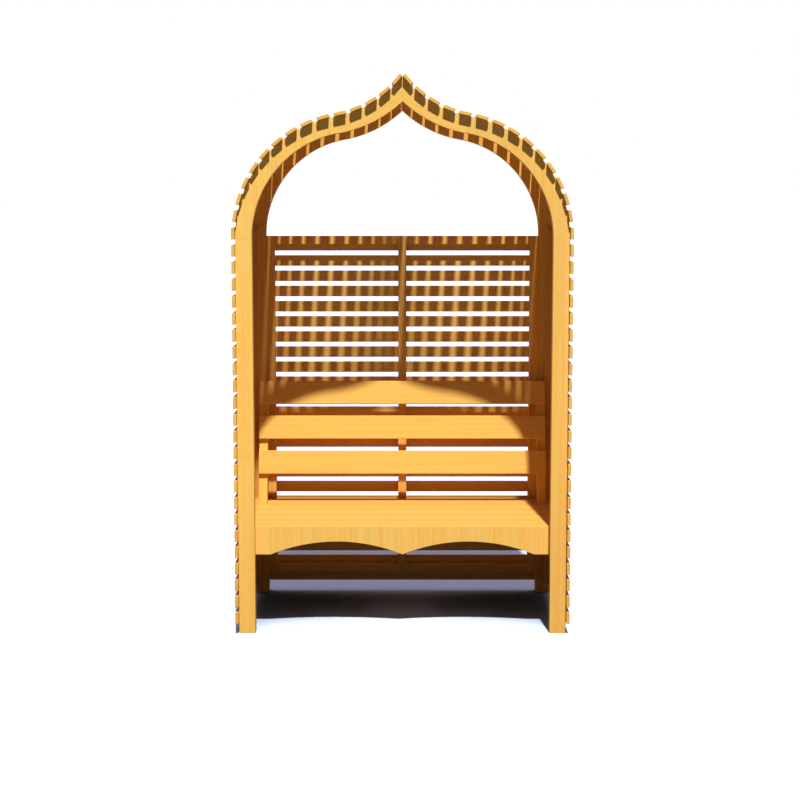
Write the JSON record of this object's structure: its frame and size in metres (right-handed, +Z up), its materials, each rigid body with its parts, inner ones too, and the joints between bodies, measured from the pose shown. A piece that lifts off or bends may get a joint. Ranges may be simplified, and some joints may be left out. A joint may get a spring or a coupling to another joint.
{
  "type": "arbour seat",
  "caption": "Arched garden arbour of softwood with slatted sides, roof and lower back, and a bench seat with a scalloped apron and a leaning backrest.",
  "frame": {"origin": "on the ground, at the middle of the bounding box's base", "axes": "+Z up, +X to the right of someone who looks at the seat from the front, the open front facing -Y"},
  "size_m": [1.3086, 0.65, 2.1708],
  "materials": {
    "frame_timber": "satin, golden softwood",
    "slat_timber": "satin, golden softwood",
    "seat_timber": "satin, golden softwood",
    "trim_timber": "satin, golden softwood",
    "tenon_timber": "bare beech",
    "zinc_steel": "zinc plated"
  },
  "bodies": {
    "root": {"right_front_post": "frame_timber", "left_front_post": "frame_timber", "right_rear_post": "frame_timber", "left_rear_post": "frame_timber", "right_front_haunch": "frame_timber", "left_front_haunch": "frame_timber", "right_rear_haunch": "frame_timber", "left_rear_haunch": "frame_timber", "right_front_ogee": "frame_timber", "left_front_ogee": "frame_timber", "right_rear_ogee": "frame_timber", "left_rear_ogee": "frame_timber", "right_front_post_tenon": "tenon_timber", "left_front_post_tenon": "tenon_timber", "right_rear_post_tenon": "tenon_timber", "left_rear_post_tenon": "tenon_timber", "right_front_haunch_tenon": "tenon_timber", "left_front_haunch_tenon": "tenon_timber", "right_rear_haunch_tenon": "tenon_timber", "left_rear_haunch_tenon": "tenon_timber", "front_apex_tenon": "tenon_timber", "rear_apex_tenon": "tenon_timber", "right_side_slats": "slat_timber", "left_side_slats": "slat_timber", "right_roof_slats": "slat_timber", "left_roof_slats": "slat_timber", "back_slats": "slat_timber", "right_back_stile": "trim_timber", "left_back_stile": "trim_timber", "centre_back_stile": "trim_timber", "right_back_top_rail": "trim_timber", "left_back_top_rail": "trim_timber", "right_back_bottom_rail": "trim_timber", "left_back_bottom_rail": "trim_timber", "right_corner_batten": "trim_timber", "left_corner_batten": "trim_timber", "seat_apron": "seat_timber", "seat_slat_1": "seat_timber", "seat_slat_2": "seat_timber", "seat_slat_3": "seat_timber", "seat_slat_4": "seat_timber", "seat_slat_5": "seat_timber", "seat_rear_rail": "trim_timber", "right_seat_bearer": "trim_timber", "left_seat_bearer": "trim_timber", "centre_seat_bearer": "trim_timber", "backrest_board_1": "seat_timber", "backrest_board_2": "seat_timber", "backrest_board_3": "seat_timber", "right_backrest_support": "trim_timber", "left_backrest_support": "trim_timber", "right_apron_screw": "zinc_steel", "left_apron_screw": "zinc_steel", "right_rail_screw": "zinc_steel", "left_rail_screw": "zinc_steel", "right_support_bolt": "zinc_steel", "left_support_bolt": "zinc_steel"}
  },
  "joints": []
}
